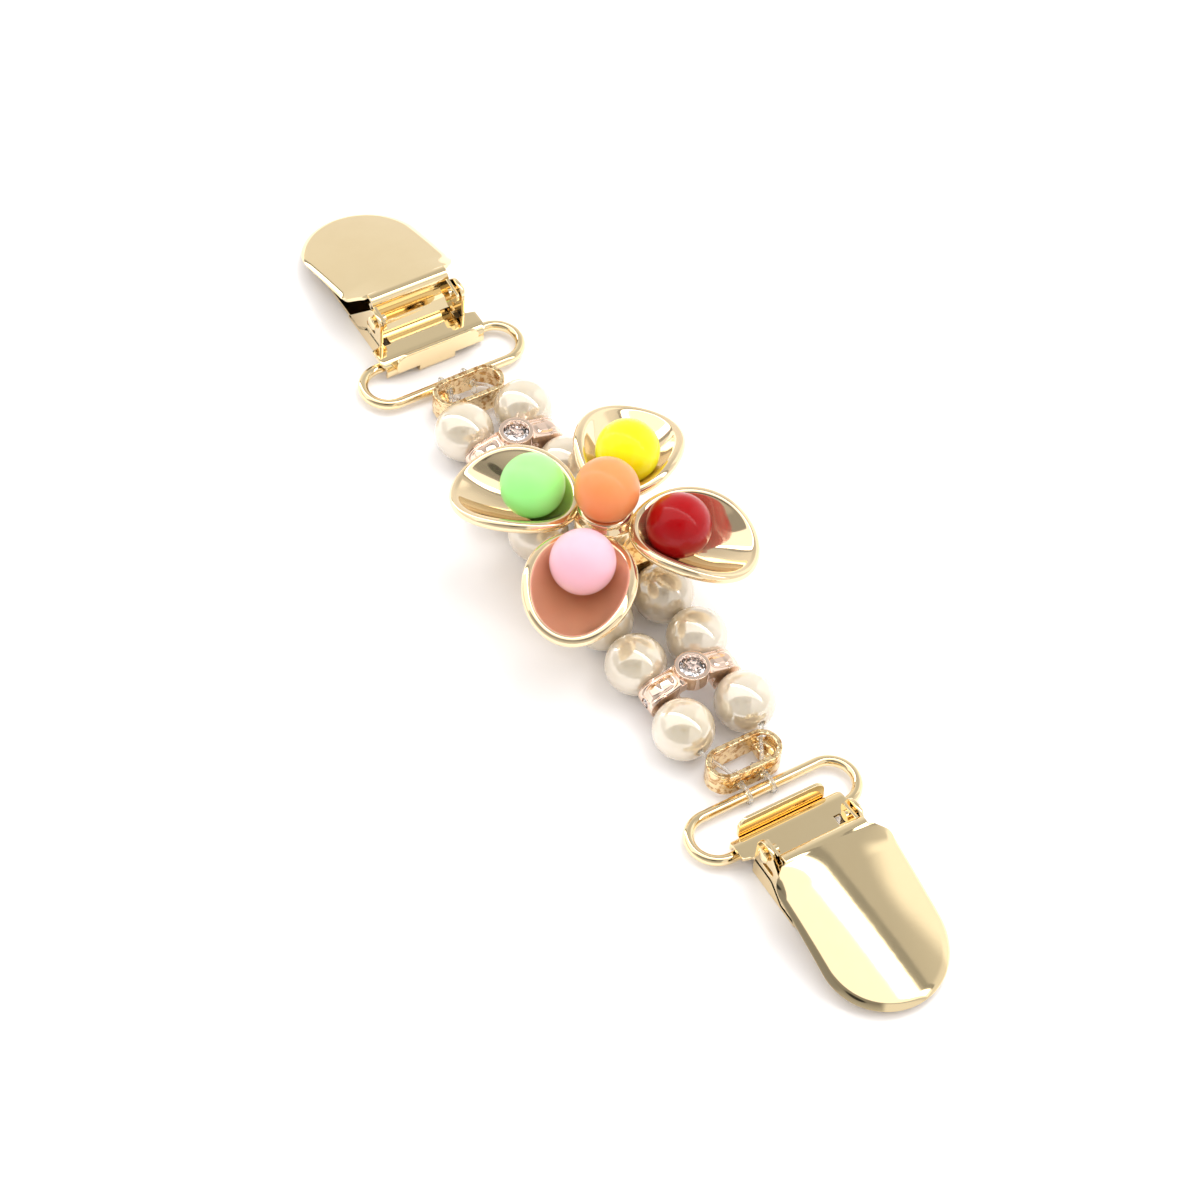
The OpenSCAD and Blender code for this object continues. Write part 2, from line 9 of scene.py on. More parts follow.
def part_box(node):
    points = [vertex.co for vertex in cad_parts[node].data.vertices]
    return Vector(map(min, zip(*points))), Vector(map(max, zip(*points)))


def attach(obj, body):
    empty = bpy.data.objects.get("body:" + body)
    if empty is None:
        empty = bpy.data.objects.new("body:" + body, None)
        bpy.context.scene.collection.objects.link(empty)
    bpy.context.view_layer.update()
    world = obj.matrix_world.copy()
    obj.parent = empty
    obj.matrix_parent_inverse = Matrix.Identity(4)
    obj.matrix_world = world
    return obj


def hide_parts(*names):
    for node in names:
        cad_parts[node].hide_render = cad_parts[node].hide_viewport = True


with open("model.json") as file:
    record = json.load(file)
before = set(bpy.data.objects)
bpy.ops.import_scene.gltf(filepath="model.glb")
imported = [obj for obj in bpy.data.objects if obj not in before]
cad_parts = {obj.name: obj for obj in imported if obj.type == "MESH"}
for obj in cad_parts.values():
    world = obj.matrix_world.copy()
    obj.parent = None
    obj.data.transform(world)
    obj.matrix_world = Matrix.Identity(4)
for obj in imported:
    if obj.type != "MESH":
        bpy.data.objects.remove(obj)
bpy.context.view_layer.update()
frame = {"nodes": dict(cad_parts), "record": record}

MM = 0.001


# Camera

def make_camera():
    """The photo's view, fitted to the pearls, spacers, cups and clips."""
    elevation, azimuth, roll = math.radians(51.8), math.radians(54.9), math.radians(5.3)
    target, distance = Vector((2.7, -1.4, 0.0)) * MM, 400 * MM
    right = Vector((math.cos(azimuth), math.sin(azimuth), 0))
    ahead = Vector((-math.sin(azimuth), math.cos(azimuth), 0)) * math.cos(elevation)
    ahead.z = -math.sin(elevation)
    up = right.cross(ahead)
    c, s = math.cos(roll), math.sin(roll)
    right, up = right * c + up * s, up * c - right * s
    camera = bpy.data.objects.new("camera", bpy.data.cameras.new("camera"))
    camera.data.lens = 92.5
    camera.data.sensor_width = 36
    camera.data.clip_start = 0.01
    turn = Matrix((right, up, -ahead)).transposed().to_4x4()
    camera.matrix_world = Matrix.Translation(target - ahead * distance) @ turn
    bpy.context.scene.collection.objects.link(camera)
    bpy.context.scene.camera = camera
    return ahead


AHEAD = make_camera()
BACK = Vector((AHEAD.x, AHEAD.y, 0)).normalized()
RIGHT = Vector((BACK.y, -BACK.x, 0))


class Nodes:
    """Adds and links the shader nodes of one tree."""

    def __init__(self, tree):
        self.tree = tree
        tree.nodes.clear()

    def add(self, kind, inputs=None, **props):
        node = self.tree.nodes.new(kind)
        for key, value in props.items():
            setattr(node, key, value)
        for key, value in (inputs or {}).items():
            if isinstance(value, bpy.types.NodeSocket):
                self.tree.links.new(value, node.inputs[key])
            else:
                node.inputs[key].default_value = value
        return node

    def ramp(self, factor, stops):
        node = self.add("ShaderNodeValToRGB", {"Fac": factor})
        ramp = node.color_ramp
        while len(ramp.elements) < len(stops):
            ramp.elements.new(0.5)
        for element, (at, colour) in zip(ramp.elements, stops):
            element.position = at
            element.color = (*colour, 1)
        return node.outputs["Color"]

    def maths(self, op, a, b):
        return self.add("ShaderNodeMath", {0: a, 1: b}, operation=op).outputs[0]

    def mix(self, factor, a, b):
        node = self.add("ShaderNodeMix", {"Factor": factor, "A": a, "B": b}, data_type="RGBA")
        return node.outputs[2]

    def noise(self, scale, detail=2.0):
        """Noise over the object's own coordinates, in metres."""
        spot = self.add("ShaderNodeTexCoord").outputs["Object"]
        inputs = {"Vector": spot, "Scale": scale, "Detail": detail}
        return self.add("ShaderNodeTexNoise", inputs).outputs["Fac"]

    def bump(self, height, strength, distance=0.1 * MM):
        inputs = {"Height": height, "Strength": strength, "Distance": distance}
        return self.add("ShaderNodeBump", inputs).outputs["Normal"]

    def surface(self, inputs):
        """The tree's one shader, linked to its output."""
        shader = self.add("ShaderNodeBsdfPrincipled", inputs)
        self.add("ShaderNodeOutputMaterial", {"Surface": shader.outputs[0]})


# Studio

def make_world():
    """A pale studio: a softbox overhead, pale walls behind the object, a dim room behind the camera."""
    world = bpy.data.worlds.new("studio")
    bpy.context.scene.world = world
    world.use_nodes = True
    n = Nodes(world.node_tree)
    way = n.add("ShaderNodeTexCoord").outputs["Generated"]

    def toward(direction):
        node = n.add("ShaderNodeVectorMath", {0: way, 1: tuple(direction)}, operation="DOT_PRODUCT")
        return node.outputs["Value"]

    height, depth, side = toward((0, 0, 1)), toward(BACK), toward(RIGHT)
    slant = 0.45
    slanted = n.maths("ADD", depth, n.maths("MULTIPLY", side, slant))

    def grey(stops):
        return n.ramp(height, [(at, (level, level * 0.985, level * 0.965)) for at, level in stops])

    def step(value, start, end):
        inputs = {"Value": value, "From Min": start, "From Max": end}
        return n.add("ShaderNodeMapRange", inputs, interpolation_type="SMOOTHSTEP").outputs["Result"]

    def within(value, low, high, soft):
        rise, fall = step(value, low - soft, low + soft), step(value, high + soft, high - soft)
        return n.maths("MULTIPLY", rise, fall)

    def patch(light, level, ranges, soft):
        mask = n.maths("GREATER_THAN", height, 0.0)
        for value, (low, high) in ranges:
            mask = n.maths("MULTIPLY", mask, within(value, low, high, soft))
        return n.mix(mask, light, (level, level * 0.99, level * 0.975, 1))

    def spot(light, level, aim, degrees):
        outer, inner = math.cos(math.radians(degrees * 1.2)), math.cos(math.radians(degrees * 0.8))
        return n.mix(step(toward(aim.normalized()), outer, inner), light, (level, level, level, 1))

    far_side = grey([(0.0, 0.95), (0.3, 0.92), (0.55, 0.86), (0.72, 0.70), (0.85, 0.60), (1.0, 0.60)])
    near_side = grey([(0.0, 0.72), (0.15, 0.70), (0.40, 0.55), (0.62, 0.40), (0.8, 0.26), (1.0, 0.32)])
    light = n.mix(step(depth, -0.42, -0.22), near_side, far_side)

    # A bright wall on the far right, then a dim band with the softbox and its brightest strip before it
    light = patch(light, 1.25, [(depth, (0.25, 1.2)), (side, (0.52, 1.2))], 0.06)
    light = patch(light, 0.36, [(slanted, (0.20, 0.33)), (side, (-0.9, 0.9))], 0.012)
    softbox = [(depth, (-0.32, 1.0)), (slanted, (-2.0, 0.245)), (side, (-0.92, 0.92))]
    light = patch(light, 1.45, softbox, 0.015)
    light = patch(light, 4.5, [(slanted, (0.10, 0.24)), (side, (-0.85, 0.85))], 0.02)

    # A pale wall on the near right, and the dark camera with a dim patch on its left
    light = patch(light, 0.95, [(depth, (-1.2, -0.38)), (side, (0.34, 1.2))], 0.05)
    light = spot(light, 0.30, BACK * -0.55 + RIGHT * -0.50 + Vector((0, 0, 0.68)), 14)
    light = spot(light, 0.04, BACK * -0.618 + Vector((0, 0, 0.786)), 7)
    back = n.add("ShaderNodeBackground", {"Color": light, "Strength": 1.0})
    n.add("ShaderNodeOutputWorld", {"Surface": back.outputs[0]})


def new_material(name):
    material = bpy.data.materials.new(name)
    material.use_nodes = True
    return material, Nodes(material.node_tree)


def make_floor():
    """A wide sheet of paper, just under the object so that the two never share a plane."""
    half, drop = 2.5, 0.02 * MM
    mesh = bpy.data.meshes.new("floor")
    corners = [(-half, -half, 0), (half, -half, 0), (half, half, 0), (-half, half, 0)]
    mesh.from_pydata(corners, [], [(0, 1, 2, 3)])
    floor = bpy.data.objects.new("floor", mesh)
    floor.location.z = -drop
    bpy.context.scene.collection.objects.link(floor)
    material, n = new_material("floor_paper")
    n.surface({"Base Color": (0.93, 0.915, 0.925, 1), "Roughness": 0.6})
    mesh.materials.append(material)


def area_light(name, at, size, energy):
    """A soft lamp that looks at the object; polished metal doesn't mirror it."""
    data = bpy.data.lights.new(name, "AREA")
    data.shape = "RECTANGLE"
    data.size, data.size_y = size
    data.energy = energy
    lamp = bpy.data.objects.new(name, data)
    lamp.location = at
    lamp.rotation_euler = (-at).to_track_quat("-Z", "Y").to_euler()
    lamp.visible_glossy = False
    bpy.context.scene.collection.objects.link(lamp)


bpy.context.scene.view_settings.view_transform = "Standard"
make_world()
make_floor()
area_light("key", BACK * 0.35 + RIGHT * 0.25 + Vector((0, 0, 0.7)), (0.5, 0.4), 3.4)
area_light("fill", BACK * -0.45 + RIGHT * -0.1 + Vector((0, 0, 0.6)), (0.6, 0.4), 1.2)


# Materials

def metal(name, colour, dark, roughness, mirror=1.0):
    """Polished plate: slight colour drift, faint handling marks and a fine uneven surface."""
    material, n = new_material(name)
    drift = n.noise(260, 3.0)
    marks = {"Value": drift, "To Min": roughness * 0.7, "To Max": roughness * 1.5}
    n.surface({
        "Base Color": n.mix(n.maths("MULTIPLY", drift, 0.5), (*colour, 1), (*dark, 1)),
        "Metallic": mirror, "Roughness": n.add("ShaderNodeMapRange", marks).outputs["Result"],
        "Normal": n.bump(n.noise(900), 0.02)})
    return material


def cast_metal(name, colour, dark):
    """Rough cast plate: grainy skin, with painted shade darkening the hollows of its bumps."""
    material, n = new_material(name)
    lumps = n.noise(1500, 3.0)
    n.surface({
        # Painted shade: the base colour turns to the dark colour where the bump noise is low, in its hollows
        "Base Color": n.ramp(lumps, [(0.38, dark), (0.52, colour)]), "Metallic": 1.0, "Roughness": 0.18,
        "Normal": n.bump(lumps, 0.3, 0.12 * MM)})
    return material


def pearl_material():
    """Nacre lacquer: cream body, a soft deeper glow and a clear coat."""
    material, n = new_material("pearl_lacquer")
    n.surface({
        "Base Color": n.ramp(n.noise(180, 4.0), [(0.3, (0.68, 0.58, 0.42)), (0.7, (0.74, 0.65, 0.52))]),
        "Metallic": 0.25, "Roughness": 0.15, "Normal": n.bump(n.noise(1500, 3.0), 0.02),
        "Subsurface Weight": 0.2, "Subsurface Radius": (1.0, 0.8, 0.5), "Subsurface Scale": 0.8 * MM,
        "Coat Weight": 0.9, "Coat Roughness": 0.05, "Coat IOR": 2.6})
    return material


def bead_material(name, colour, deep):
    """Opaque moulded bead with a soft gloss."""
    material, n = new_material(name)
    n.surface({
        "Base Color": n.mix(n.maths("MULTIPLY", n.noise(140, 3.0), 0.35), (*colour, 1), (*deep, 1)),
        "Roughness": 0.35, "Specular IOR Level": 0.15, "Normal": n.bump(n.noise(700), 0.03),
        "Subsurface Weight": 0.5, "Subsurface Radius": (1.0, 0.7, 0.6), "Subsurface Scale": 1.4 * MM,
        "Coat Weight": 0.5, "Coat Roughness": 0.04, "Coat IOR": 1.38})
    return material


def plain_material(name, scale, colour, dark, inputs):
    """A clear or mirrored body with a slight drift between two colours."""
    material, n = new_material(name)
    n.surface({"Base Color": n.mix(n.noise(scale), (*colour, 1), (*dark, 1)), **inputs})
    return material


LOOKS = {
    "clip_metal": metal("pale_gold_plate", (0.93, 0.76, 0.47), (0.86, 0.67, 0.38), 0.06),
    "cup_metal": metal("champagne_plate", (0.94, 0.76, 0.50), (0.87, 0.66, 0.40), 0.05, 0.92),
    "rose_metal": metal("rose_gold_plate", (0.94, 0.74, 0.61), (0.84, 0.60, 0.46), 0.06),
    # The cast plate's second colour is painted shade for the hollows of its grainy skin
    "gold_metal": cast_metal("cast_gold_plate", (0.95, 0.75, 0.45), (0.56, 0.30, 0.11)),
    "pearl": pearl_material(),
    "stone": plain_material("cut_glass", 400, (0.97, 0.97, 1.0), (0.93, 0.93, 0.97),
                            {"Roughness": 0.01, "IOR": 1.9, "Transmission Weight": 1.0}),
    "thread": plain_material("clear_elastic", 900, (0.97, 0.96, 0.93), (0.92, 0.90, 0.85),
                             {"Roughness": 0.12, "IOR": 1.45, "Transmission Weight": 0.85}),
    "bead_green": bead_material("green_bead", (0.36, 0.92, 0.27), (0.30, 0.86, 0.22)),
    "bead_yellow": bead_material("yellow_bead", (0.98, 0.88, 0.01), (0.92, 0.76, 0.01)),
    "bead_red": bead_material("red_bead", (0.36, 0.0, 0.002), (0.27, 0.0, 0.001)),
    "bead_pink": bead_material("pink_bead", (0.92, 0.50, 0.59), (0.88, 0.46, 0.54)),
    "bead_orange": bead_material("orange_bead", (0.84, 0.30, 0.11), (0.78, 0.26, 0.09)),
}
FOIL = plain_material("stone_foil", 600, (0.95, 0.95, 0.97), (0.80, 0.80, 0.84),
                      {"Metallic": 1.0, "Roughness": 0.05})
SLOT_OF = {part["node"]: part["material_slot"] for part in frame["record"]["subparts"]}


def dress(obj, slot):
    obj.data.materials.clear()
    obj.data.materials.append(LOOKS[slot])


for node, obj in frame["nodes"].items():
    dress(obj, SLOT_OF[node])


# Places and sizes of the clips, in millimetres; those of clip b are the same, turned by half a turn

def box_mm(node):
    low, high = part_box(node)
    return Vector(low) / MM, Vector(high) / MM


def joint_mm(name):
    joint = next(j for j in frame["record"]["behaviour"]["joints"] if j["name"] == name)
    return Vector(joint["pos_m"]) / MM


BAR = joint_mm("clip_swing_a")
HINGE = joint_mm("lever_hinge_a")
BASE_HIGH = box_mm("clip_base_a")[1]
LEVER_HIGH = box_mm("clip_lever_a")[1]
RING_LOW, RING_HIGH = box_mm("wire_ring_a")
SHEET = 0.5
CLEARANCE = 0.05

# The base: its edge is rolled round the ring's wire
WIRE = RING_HIGH.z - RING_LOW.z
ROLL_R = WIRE / 2 + CLEARANCE + SHEET
ROLL_HALF = BASE_HIGH.y
PLATE_Z = BAR.z + ROLL_R
BASE_HALF = 6.6
EAR_X = BAR.x + ROLL_R + 0.9
EAR_R = 1.75
STEP_X = HINGE.x + 1.9
STEP_RUN = 2.2
WALL_END = HINGE.x + 7.4
TONGUE_END = BASE_HIGH.x

# The lever: its leg's foot, its fold and its sloping plate, and the pins that it turns on
PIN_R, PIN_END = 0.7, 7.2
NECK_HALF = 5.9
LEVER_HALF = LEVER_HIGH.y
LEVER_SLOPE = math.radians(14)
ALONG = Vector((math.cos(LEVER_SLOPE), 0, -math.sin(LEVER_SLOPE)))
ABOVE = Vector((math.sin(LEVER_SLOPE), 0, math.cos(LEVER_SLOPE)))
CROWN_R = 34.0
FOLD = Vector((HINGE.x + 1.9, 0, HINGE.z + 1.9))
FOOT = Vector((HINGE.x + 0.6, 0, PLATE_Z + 0.15))
LEVER_LENGTH = (LEVER_HIGH.x - FOLD.x) / math.cos(LEVER_SLOPE)


# Mesh helpers

def smoothstep(low, high, value):
    t = min(max((value - low) / (high - low), 0.0), 1.0)
    return t * t * (3 - 2 * t)


def spread(a, b, count):
    return [a + (b - a) * i / (count - 1) for i in range(count)]


def full_turn(sides):
    return [2 * math.pi * k / sides for k in range(sides)]


def arc(centre, radius, start, end, count):
    """Points of an arc in a plane; angles in degrees."""
    return [(centre[0] + radius * math.cos(math.radians(a)), centre[1] + radius * math.sin(math.radians(a)))
            for a in spread(start, end, count)]


def filleted(points, radii, step=10):
    """The polyline in a plane with each inner corner rounded by its radius, a point every step degrees."""
    out = [points[0]]
    for before, corner, after, radius in zip(points, points[1:], points[2:], radii):
        c = Vector(corner)
        a, b = (Vector(before) - c), (Vector(after) - c)
        half = a.angle(b) / 2
        back = min(radius / math.tan(half), a.length * 0.98, b.length * 0.98)
        radius = back * math.tan(half)
        a.normalize()
        b.normalize()
        centre = c + (a + b).normalized() * (radius / math.sin(half))
        first, last = c + a * back - centre, c + b * back - centre
        turn = math.pi - 2 * half
        side = 1 if first.x * last.y - first.y * last.x > 0 else -1
        count = max(3, int(math.degrees(turn) / step) + 2)
        for i in range(count):
            angle = turn * (i / (count - 1))
            co, si = math.cos(angle), math.sin(angle) * side
            out.append(tuple(centre + Vector((first.x * co - first.y * si, first.x * si + first.y * co))))
    out.append(points[-1])
    return out


def resampled(points, gap):
    """The polyline with extra points so that no step is longer than gap."""
    out = [points[0]]
    for a, b in zip(points, points[1:]):
        steps = max(1, math.ceil(math.dist(a, b) / gap))
        out += [tuple(p + (q - p) * i / steps for p, q in zip(a, b)) for i in range(1, steps + 1)]
    return out


def round_end(radius, shares, count):
    """Rows of x and y that close a plate of half width radius with a half circle."""
    return [[(radius * u * math.sqrt(1 - v * v / 2), radius * v * math.sqrt(1 - u * u / 2)) for v in shares]
            for u in spread(0, 1, count)[1:]]


def grid_mesh(name, rows, closed=False):
    """A mesh of quads through rows of points, which all have the same length."""
    width = len(rows[0])
    faces = []
    for i in range(len(rows) - 1):
        for k in range(width if closed else width - 1):
            m = (k + 1) % width
            faces.append((i * width + k, i * width + m, (i + 1) * width + m, (i + 1) * width + k))
    mesh = bpy.data.meshes.new(name)
    mesh.from_pydata([tuple(p) for row in rows for p in row], [], faces)
    return mesh


def scratch_object(mesh):
    obj = bpy.data.objects.new(mesh.name, mesh)
    bpy.context.scene.collection.objects.link(obj)
    return obj


def finished(obj):
    """The object's mesh with its modifiers applied; the object itself is removed."""
    graph = bpy.context.evaluated_depsgraph_get()
    mesh = bpy.data.meshes.new_from_object(obj.evaluated_get(graph))
    bpy.data.objects.remove(obj)
    return mesh


def plated(mesh, bevel, offset=-1.0, cutters=()):
    """Sheet metal from a surface: given its thickness, its holes and its rounded edges."""
    obj = scratch_object(mesh)
    solid = obj.modifiers.new("thickness", "SOLIDIFY")
    solid.thickness, solid.offset, solid.use_even_offset = SHEET, offset, True
    for cutter in cutters:
        cut = obj.modifiers.new("hole", "BOOLEAN")
        cut.object, cut.operation, cut.solver = cutter, "DIFFERENCE", "EXACT"
    edge = obj.modifiers.new("edge", "BEVEL")
    edge.width, edge.segments, edge.limit_method = bevel, 3, "ANGLE"
    edge.angle_limit = math.radians(50)
    done = finished(obj)
    for cutter in cutters:
        bpy.data.objects.remove(cutter)
    return done


def cut_plate(name, outlines, bevel):
    """Flat sheet metal in the XY plane, centred on it, with the outlines' inner loops as holes."""
    curve = bpy.data.curves.new(name, "CURVE")
    curve.dimensions, curve.fill_mode = "2D", "BOTH"
    curve.extrude, curve.bevel_depth, curve.bevel_resolution = SHEET / 2 - bevel, bevel, 2
    curve.offset = -bevel
    for outline in outlines:
        spline = curve.splines.new("POLY")
        spline.points.add(len(outline) - 1)
        for point, (x, y) in zip(spline.points, outline):
            point.co = (x, y, 0, 1)
        spline.use_cyclic_u = True
    obj = bpy.data.objects.new(name, curve)
    bpy.context.scene.collection.objects.link(obj)
    mesh = finished(obj)
    bpy.data.curves.remove(curve)
    return mesh


def welded(mesh, reach, fill=False):
    """The mesh with points closer than reach merged and its faces turned outward."""
    body = bmesh.new()
    body.from_mesh(mesh)
    bmesh.ops.remove_doubles(body, verts=body.verts, dist=reach)
    if fill:
        bmesh.ops.holes_fill(body, edges=body.edges, sides=0)
    bmesh.ops.recalc_face_normals(body, faces=body.faces)
    body.to_mesh(mesh)
    body.free()
    return mesh


def lathe(name, profile, sides):
    """A body turned about Z from its [radius, height] profile."""
    rows = [[(r * math.cos(a), r * math.sin(a), z) for a in full_turn(sides)] for r, z in profile]
    return welded(grid_mesh(name, rows, closed=True), 1e-5, fill=True)


def joined(name, meshes, smooth_angle=40):
    """One mesh in metres from several in millimetres, smooth but for its sharp edges."""
    body = bmesh.new()
    for mesh in meshes:
        body.from_mesh(mesh)
    bmesh.ops.scale(body, vec=(MM, MM, MM), verts=body.verts)
    for face in body.faces:
        face.smooth = True
    for edge in body.edges:
        sharp = len(edge.link_faces) == 2 and edge.calc_face_angle(0) > math.radians(smooth_angle)
        edge.smooth = not sharp
    mesh = bpy.data.meshes.new(name)
    body.to_mesh(mesh)
    body.free()
    return mesh


UPRIGHT = Matrix(((1, 0, 0), (0, 0, -1), (0, 1, 0))).to_4x4()
ALONG_Y = Matrix(((1, 0, 0), (0, 0, 1), (0, -1, 0))).to_4x4()
HALF_TURN = Matrix.Rotation(math.pi, 4, "Z")


def piece(name, mesh, slot, body, *nodes, turned=False):
    """A finished piece that rides on a body and stands for the CAD nodes."""
    if turned:
        mesh = mesh.copy()
        mesh.transform(HALF_TURN)
    obj = bpy.data.objects.new(name, mesh)
    bpy.context.scene.collection.objects.link(obj)
    dress(obj, slot)
    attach(obj, body)
    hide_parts(*nodes)
    return obj


# Lever: leg, rounded fold, crowned plate with shoulders, lugs and headed trunnions

def lever_half_width(s):
    """Half of the plate's width at a distance s from the fold."""
    neck, slope_end, corner, ease = 0.7, 2.6, 1.0, 0.3
    if s <= neck:
        return NECK_HALF
    if s <= slope_end:
        t = (s - neck) / (slope_end - neck)
        return NECK_HALF + (LEVER_HALF - ease - NECK_HALF) * t
    t = min((s - slope_end) / corner, 1.0)
    return LEVER_HALF - ease * (1 - t) ** 2


def lever_plate_point(s, y, edge):
    """A point of the plate: crowned across, domed towards the tip, its rim turned down near the edge."""
    crown = CROWN_R - math.sqrt(CROWN_R ** 2 - y * y)
    dome = 0.0035 * max(s - 4.0, 0.0) ** 2
    rim = 0.28 * max(1 - edge / 0.9, 0.0) ** 2
    drop = crown * smoothstep(-0.5, 5.0, s) + dome + rim * smoothstep(1.5, 5.0, s)
    return FOLD + ALONG * s - ABOVE * drop + Vector((0, y, 0))


def lever_sheet():
    """The hollow leg, the fold and the plate with its round end, in one sheet."""
    across, hollow, fold_r, tail = 81, 0.7, 0.75, 8
    shares = [0.45 * -math.cos(math.pi * k / (across - 1)) + 0.55 * (2 * k / (across - 1) - 1)
              for k in range(across)]
    chord = FOOT - FOLD
    bow = (chord.length ** 2 / 4 + hollow ** 2) / (2 * hollow)
    side = Vector((chord.z, 0, -chord.x)).normalized()
    centre = (FOOT + FOLD) / 2 + side * (bow - hollow)
    a_foot, a_fold = (math.degrees(math.atan2(p.z - centre.z, p.x - centre.x)) for p in (FOOT, FOLD))
    leg = arc((centre.x, centre.z), bow, a_foot, a_fold, 24)
    ahead = (FOLD.x + 4 * math.cos(LEVER_SLOPE), FOLD.z - 4 * math.sin(LEVER_SLOPE))
    bend = filleted([leg[-tail], leg[-1], ahead], [fold_r], step=8)
    path = resampled(leg[:-tail] + bend[:-1], 0.25)
    rows = [[Vector((x, NECK_HALF * v, z)) for v in shares] for x, z in path]
    start, straight = math.dist(bend[-2], (FOLD.x, FOLD.z)), LEVER_LENGTH - LEVER_HALF
    for s in spread(start + 0.2, straight, 90):
        half = lever_half_width(s)
        rows.append([lever_plate_point(s, half * v, half * (1 - abs(v))) for v in shares])
    for row in round_end(LEVER_HALF, shares, 50):
        rows.append([lever_plate_point(straight + x, y, LEVER_HALF - math.hypot(x, y)) for x, y in row])
    return plated(grid_mesh("lever_sheet", rows), 0.1)


def lugs_and_trunnions():
    """On each side a lug under the plate, and a pin with a rounded head through it."""
    lug_r, under, pin_start = PIN_R + 0.85, FOLD.z - 0.75, 4.9
    head, head_start = PIN_R + 0.3, PIN_END - 0.4
    outline = arc((HINGE.x, HINGE.z), lug_r, 150, 340, 30)
    outline += filleted([(FOLD.x + 0.9, FOLD.z - 1.2), (FOLD.x + 0.6, under), (FOLD.x - 0.5, under)], [0.3])
    profile = [(0, pin_start), (PIN_R, pin_start), (PIN_R, head_start), (head - 0.08, head_start),
               (head, PIN_END - 0.3), (head, PIN_END - 0.22), (head - 0.12, PIN_END - 0.08),
               (head - 0.4, PIN_END - 0.01), (0, PIN_END)]
    parts = []
    for s, turn in ((-1, UPRIGHT), (1, ALONG_Y)):
        lug = cut_plate("lug", [outline], 0.06)
        lug.transform(Matrix.Translation((0, s * (NECK_HALF - SHEET / 2), 0)) @ UPRIGHT)
        pin = lathe("trunnion", profile, 32)
        pin.transform(Matrix.Translation((HINGE.x, 0, HINGE.z)) @ turn)
        parts += [lug, pin]
    return parts


# Clip base: rolled edge, plate, step and tongue, side walls with ears, strap and lip

def box_cutter(low, high):
    mesh = bpy.data.meshes.new("cutter")
    body = bmesh.new()
    bmesh.ops.create_cube(body, size=1)
    for vert in body.verts:
        vert.co = Vector([a + (b - a) * (share + 0.5) for a, b, share in zip(low, high, vert.co)])
    body.to_mesh(mesh)
    body.free()
    return scratch_object(mesh)


def base_sheet():
    """Rolled edge, plate, step and tongue in one sheet, with a square hole inside each ear's root."""
    shares = spread(-1, 1, 41)
    tongue_x, roll_start = TONGUE_END - BASE_HALF, BAR.x - ROLL_R
    roll = arc((BAR.x, BAR.z), ROLL_R, 205, 90, 24)
    bends = [roll[-1], (STEP_X, PLATE_Z), (STEP_X + STEP_RUN + 0.25, SHEET), (tongue_x, SHEET)]
    rows = []
    for x, z in resampled(roll + filleted(bends, [0.7, 0.9], step=8)[1:], 0.3):
        half = ROLL_HALF - (ROLL_HALF - BASE_HALF) * smoothstep(EAR_X - 0.35, EAR_X, x)
        corner = 0.5 * (1 - smoothstep(roll_start, roll_start + 0.6, x))
        rows.append([Vector((x, (half - corner) * v, z)) for v in shares])
    rows += [[Vector((tongue_x + x, y, SHEET)) for x, y in row] for row in round_end(BASE_HALF, shares, 24)]
    holes, hole_half = [], 0.5
    for s in (-1, 1):
        y = s * (BASE_HALF - SHEET - hole_half)
        holes.append(box_cutter((EAR_X - 0.3, y - hole_half, PLATE_Z - 1),
                                (EAR_X + 1.1, y + hole_half, PLATE_Z + 1)))
    return plated(grid_mesh("base_sheet", rows), 0.08, cutters=holes)


def base_walls():
    """The side walls: an ear round the pin's hole, a slot under it, and a slope down to the tongue."""
    bottom, slot_r, slot_z = 0.05, 0.45, HINGE.z - 1.8
    hinge, toe = Vector((HINGE.x, HINGE.z)), Vector((WALL_END, SHEET))
    reach = toe - hinge
    touch = math.degrees(math.atan2(reach.y, reach.x) + math.acos(EAR_R / reach.length))
    root = [(STEP_X, bottom), (EAR_X, bottom), (EAR_X, PLATE_Z + 0.6), (HINGE.x - EAR_R, HINGE.z)]
    outline = filleted(root, [0.3, 0.3])[1:] + arc(hinge, EAR_R, 180, touch, 26)[1:]
    outline += [tuple(toe), (WALL_END, bottom)]
    slot = arc((HINGE.x + 1.65, slot_z), slot_r, -90, 90, 10)
    slot += arc((HINGE.x + 0.15, slot_z), slot_r, 90, 270, 10)
    hole = arc(hinge, PIN_R + CLEARANCE, 0, 350, 36)
    walls = []
    for s in (-1, 1):
        wall = cut_plate("wall", [outline, hole, slot], 0.07)
        wall.transform(Matrix.Translation((0, s * (BASE_HALF - SHEET / 2), 0)) @ UPRIGHT)
        walls.append(wall)
    return walls


